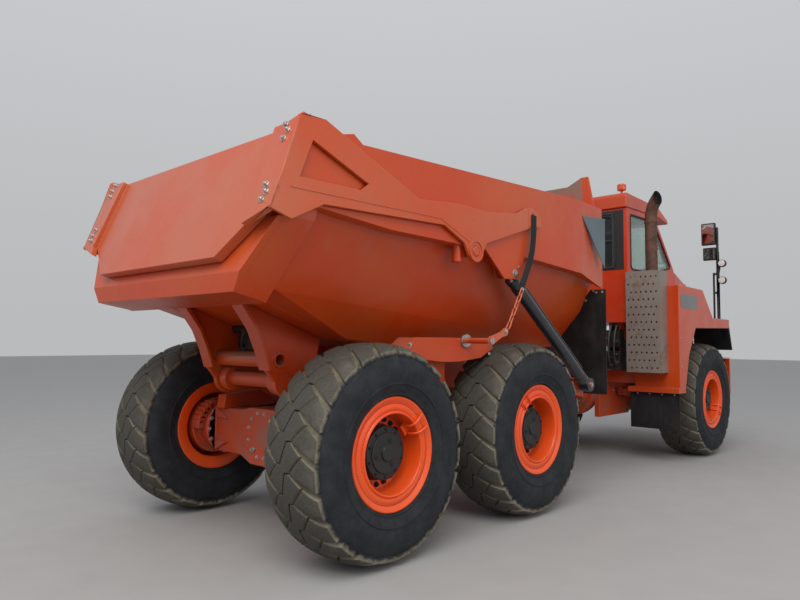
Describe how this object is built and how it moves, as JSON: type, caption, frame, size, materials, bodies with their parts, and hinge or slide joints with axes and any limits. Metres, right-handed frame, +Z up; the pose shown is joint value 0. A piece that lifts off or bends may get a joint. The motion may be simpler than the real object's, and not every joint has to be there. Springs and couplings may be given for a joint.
{
  "type": "articulated dump truck",
  "caption": "Articulated six-wheel dump truck with centre pivot steering, tipping body, lever-arm tailgate pulled by chains, hollow cab, and a nose-hinged hood.",
  "frame": {"origin": "on the floor, under the middle of the truck's overall length and width", "axes": "+X forward along the truck, +Y to its left, +Z up"},
  "size_m": [9.609, 2.884, 3.675],
  "materials": {
    "orange": "worn safety-orange paint, satin",
    "grey_steel": "grey painted sheet, perforated",
    "dark": "dark paint, satin",
    "chain_steel": "rusty steel",
    "rod_steel": "ground rod",
    "rust": "heat-browned steel",
    "tyre": "dusty black",
    "rubber": "matt",
    "glass": "clear, dusty",
    "lamp": "clear lens",
    "amber": "amber lens",
    "plastic": "black, grained",
    "fabric": "dark woven"
  },
  "bodies": {
    "front_frame": {"front_chassis": "orange", "bumper": "orange", "headlamps": "lamp", "front_axle": "orange", "engine_block": "dark", "cab_shell": "orange", "cab_roof": "orange", "cab_glass": "glass", "window_guard": "dark", "seat": "fabric", "dashboard": "plastic", "guard_right": "orange", "guard_left": "orange", "front_flaps": "rubber", "exhaust": "rust", "heat_shield": "grey_steel", "mirrors": "plastic", "beacon": "amber", "handrails": "dark"},
    "hood_body": {"hood": "orange", "grille": "dark"},
    "door": {"cab_door": "orange", "door_glass": "glass"},
    "hitch_body": {"hitch": "orange"},
    "rear_frame": {"rear_chassis": "orange", "walking_beams": "orange", "mid_axle": "orange", "rear_axle": "orange", "driveshaft": "dark"},
    "dump_body": {"bed": "orange", "bed_brackets": "orange", "bed_flaps": "rubber"},
    "gate": {"tailgate": "orange"},
    "chains": {"gate_chains": "chain_steel", "gate_straps": "rubber"},
    "hoist_lower": {"hoist_barrels": "dark"},
    "hoist_middle": {"hoist_stages": "rod_steel"},
    "hoist_upper": {"hoist_rods": "rod_steel"},
    "steer_lower_left": {"steer_barrel_left": "dark"},
    "steer_lower_right": {"steer_barrel_right": "dark"},
    "steer_upper_left": {"steer_rod_left": "rod_steel"},
    "steer_upper_right": {"steer_rod_right": "rod_steel"},
    "wheel_front_left": {"tyre_front_left": "tyre", "rim_front_left": "orange"},
    "wheel_front_right": {"tyre_front_right": "tyre", "rim_front_right": "orange"},
    "wheel_mid_left": {"tyre_mid_left": "tyre", "rim_mid_left": "orange"},
    "wheel_mid_right": {"tyre_mid_right": "tyre", "rim_mid_right": "orange"},
    "wheel_rear_left": {"tyre_rear_left": "tyre", "rim_rear_left": "orange"},
    "wheel_rear_right": {"tyre_rear_right": "tyre", "rim_rear_right": "orange"}
  },
  "joints": [
    {"name": "wheel_front_left_spin", "type": "hinge", "parent": "front_frame", "child": "wheel_front_left", "pos_m": [2.7025, 1.1435, 0.775], "axis": [0, 1, 0], "continuous": true},
    {"name": "wheel_front_right_spin", "type": "hinge", "parent": "front_frame", "child": "wheel_front_right", "pos_m": [2.7025, -1.1435, 0.775], "axis": [0, 1, 0], "continuous": true},
    {"name": "wheel_mid_left_spin", "type": "hinge", "parent": "rear_frame", "child": "wheel_mid_left", "pos_m": [-1.7985, 1.1435, 0.775], "axis": [0, 1, 0], "continuous": true},
    {"name": "wheel_mid_right_spin", "type": "hinge", "parent": "rear_frame", "child": "wheel_mid_right", "pos_m": [-1.7985, -1.1435, 0.775], "axis": [0, 1, 0], "continuous": true},
    {"name": "wheel_rear_left_spin", "type": "hinge", "parent": "rear_frame", "child": "wheel_rear_left", "pos_m": [-3.6755, 1.1435, 0.775], "axis": [0, 1, 0], "continuous": true},
    {"name": "wheel_rear_right_spin", "type": "hinge", "parent": "rear_frame", "child": "wheel_rear_right", "pos_m": [-3.6755, -1.1435, 0.775], "axis": [0, 1, 0], "continuous": true},
    {"name": "frame_roll", "type": "hinge", "parent": "front_frame", "child": "hitch_body", "pos_m": [1.0745, 0, 0.95], "axis": [1, 0, 0], "range_deg": [-15, 15]},
    {"name": "steer", "type": "hinge", "parent": "hitch_body", "child": "rear_frame", "pos_m": [0.5745, 0, 1], "axis": [0, 0, 1], "range_deg": [-45, 45]},
    {"name": "body_tip", "type": "hinge", "parent": "rear_frame", "child": "dump_body", "pos_m": [-3.8755, 0, 1.24], "axis": [0, -1, 0], "range_deg": [0, 70]},
    {"name": "gate_open", "type": "hinge", "parent": "dump_body", "child": "gate", "pos_m": [-2.7355, 0, 2.293], "axis": [0, 1, 0], "range_deg": [0, 103]},
    {"name": "chain_swing", "type": "hinge", "parent": "rear_frame", "child": "chains", "pos_m": [-2.5685, 0, 1.566], "axis": [0, -1, 0], "range_deg": [0, 75]},
    {"name": "door_open", "type": "hinge", "parent": "front_frame", "child": "door", "pos_m": [1.4295, 0.838, 2.5], "axis": [0, 0, 1], "range_deg": [0, 85]},
    {"name": "hood_tip", "type": "hinge", "parent": "front_frame", "child": "hood_body", "pos_m": [4.6445, 0, 1.4], "axis": [0, 1, 0], "range_deg": [0, 60]},
    {"name": "hoist_swing", "type": "hinge", "parent": "rear_frame", "child": "hoist_lower", "pos_m": [-0.6755, 0, 1.12], "axis": [0, -1, 0], "range_deg": [-1, 6.31]},
    {"name": "hoist_slide_middle", "type": "slide", "parent": "hoist_lower", "child": "hoist_middle", "axis": [-0.8053, 0, 0.5928], "range_m": [0, 1.1396]},
    {"name": "hoist_slide_upper", "type": "slide", "parent": "hoist_middle", "child": "hoist_upper", "axis": [-0.8053, 0, 0.5928], "range_m": [0, 1.1396]},
    {"name": "steer_swing_left", "type": "hinge", "parent": "rear_frame", "child": "steer_lower_left", "pos_m": [-0.3755, 0.5, 1], "axis": [0, 0, 1], "range_deg": [-7.62, 7.62]},
    {"name": "steer_slide_left", "type": "slide", "parent": "steer_lower_left", "child": "steer_upper_left", "axis": [0.9967, -0.0817, 0], "range_m": [-0.3133, 0.3133]},
    {"name": "steer_swing_right", "type": "hinge", "parent": "rear_frame", "child": "steer_lower_right", "pos_m": [-0.3755, -0.5, 1], "axis": [0, 0, 1], "range_deg": [-7.62, 7.62]},
    {"name": "steer_slide_right", "type": "slide", "parent": "steer_lower_right", "child": "steer_upper_right", "axis": [0.9967, 0.0817, 0], "range_m": [-0.3133, 0.3133]}
  ],
  "couplings": [
    {"joint": "gate_open", "follows": "body_tip", "ratio": 1.46},
    {"joint": "chain_swing", "follows": "body_tip", "ratio": 1.065},
    {"joint": "hoist_swing", "follows": "body_tip", "ratio": 0.07592},
    {"joint": "hoist_slide_middle", "follows": "body_tip", "m_per_rad": 0.93115},
    {"joint": "hoist_slide_upper", "follows": "body_tip", "m_per_rad": 0.93115},
    {"joint": "steer_swing_left", "follows": "steer", "ratio": -0.15824},
    {"joint": "steer_slide_left", "follows": "steer", "m_per_rad": 0.39637},
    {"joint": "steer_swing_right", "follows": "steer", "ratio": -0.15824},
    {"joint": "steer_slide_right", "follows": "steer", "m_per_rad": -0.39637}
  ]
}
